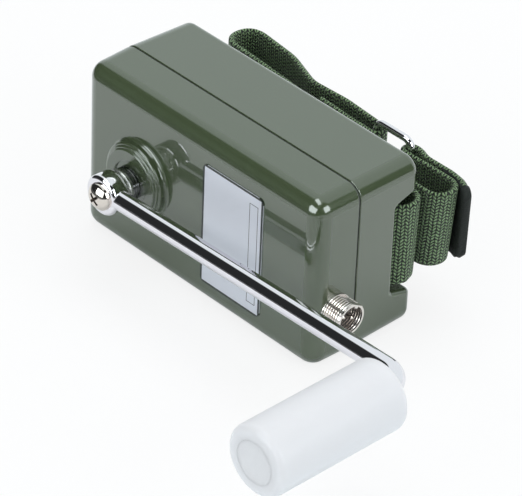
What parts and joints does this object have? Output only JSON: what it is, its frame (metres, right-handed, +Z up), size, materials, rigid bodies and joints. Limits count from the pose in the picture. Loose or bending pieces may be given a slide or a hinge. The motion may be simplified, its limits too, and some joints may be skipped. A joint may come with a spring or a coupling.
{
  "type": "hand crank generator",
  "caption": "Compact hand crank generator: a drafted cast box with gears and a rotor inside, a chrome crank with a turning grip, a threaded output socket and a folded webbing strap.",
  "frame": {"origin": "centre of the housing's flat underside", "axes": "+X along the housing towards the socket end, -Y is the front with the crank, +Z up"},
  "size_m": [0.1823, 0.1544, 0.0656],
  "materials": {
    "enamel": "glossy enamel",
    "rubber_black": "moulded",
    "chrome": "polished plating",
    "steel": "turned steel",
    "zinc": "zinc plated",
    "black_oxide": "blackened steel",
    "plate_silver": "satin printed aluminium",
    "alu": "machined",
    "white_plastic": "moulded",
    "black_plastic": "moulded",
    "webbing": "herringbone webbing",
    "brass": "machined",
    "bronze": "sintered bronze",
    "acetal": "moulded gear plastic",
    "copper": "enamelled copper wire",
    "lamination": "stacked sheet",
    "magnet": "ferrite",
    "board": "glass-fibre circuit board",
    "red_lead": "lead insulation",
    "green_plastic": "terminal block"
  },
  "bodies": {
    "housing": {"front_housing": "enamel", "rear_housing": "enamel", "housing_gasket": "rubber_black", "housing_screws": "zinc", "rating_plate": "plate_silver", "socket_shell": "chrome", "socket_insulator": "black_plastic", "socket_pins": "brass", "shaft_seal": "rubber_black", "front_bearing": "steel", "rear_bush": "bronze", "gear_plate": "alu", "plate_screws": "zinc", "first_gear_pin": "steel", "second_gear_pin": "steel", "gear_spacers": "bronze", "rotor_front_bearing": "bronze", "rotor_rear_bearing": "bronze", "stator_core": "lamination", "stator_windings": "copper", "generator_cup": "alu", "cup_screws": "zinc", "circuit_board": "board", "board_standoffs": "brass", "board_screws": "zinc", "capacitors": "black_plastic", "rectifier": "black_plastic", "boost_transformer": "black_plastic", "terminal_block": "green_plastic", "output_leads": "red_lead", "phase_leads": "red_lead", "webbing_strap": "webbing", "strap_ring": "chrome", "hook_tape": "black_plastic", "strap_clamp": "zinc", "clamp_screws": "zinc"},
    "crank": {"crank_arm": "chrome", "crank_screw": "chrome", "spring_washer": "zinc", "hub_washer": "zinc", "crank_shaft": "steel", "drive_gear": "steel", "gear_key": "steel", "gear_ring": "black_oxide", "front_bearing_inner": "steel", "grip_clip": "black_oxide"},
    "grip": {"grip": "white_plastic", "grip_cap": "white_plastic"},
    "first_gear": {"first_gear": "steel"},
    "second_gear": {"second_gear": "acetal"},
    "rotor": {"rotor_shaft": "steel", "rotor_pinion": "brass", "rotor_core": "steel", "rotor_magnet": "magnet"}
  },
  "joints": [
    {"name": "crank_spin", "type": "hinge", "parent": "housing", "child": "crank", "pos_m": [-0.0285, -0.0363, 0.0328], "axis": [0, -1, 0], "continuous": true},
    {"name": "grip_spin", "type": "hinge", "parent": "crank", "child": "grip", "pos_m": [0.11144, -0.0732, 0.03681], "axis": [0, -1, 0], "continuous": true},
    {"name": "first_gear_spin", "type": "hinge", "parent": "housing", "child": "first_gear", "pos_m": [0.0025, -0.013, 0.0328], "axis": [0, -1, 0], "continuous": true},
    {"name": "second_gear_spin", "type": "hinge", "parent": "housing", "child": "second_gear", "pos_m": [0.02498, -0.008, 0.04328], "axis": [0, -1, 0], "continuous": true},
    {"name": "rotor_spin", "type": "hinge", "parent": "housing", "child": "rotor", "pos_m": [0.0301, 0, 0.02416], "axis": [0, -1, 0], "continuous": true}
  ],
  "couplings": [
    {"joint": "first_gear_spin", "follows": "crank_spin", "ratio": -3.4286},
    {"joint": "second_gear_spin", "follows": "crank_spin", "ratio": 11.755},
    {"joint": "rotor_spin", "follows": "crank_spin", "ratio": -43.662}
  ]
}
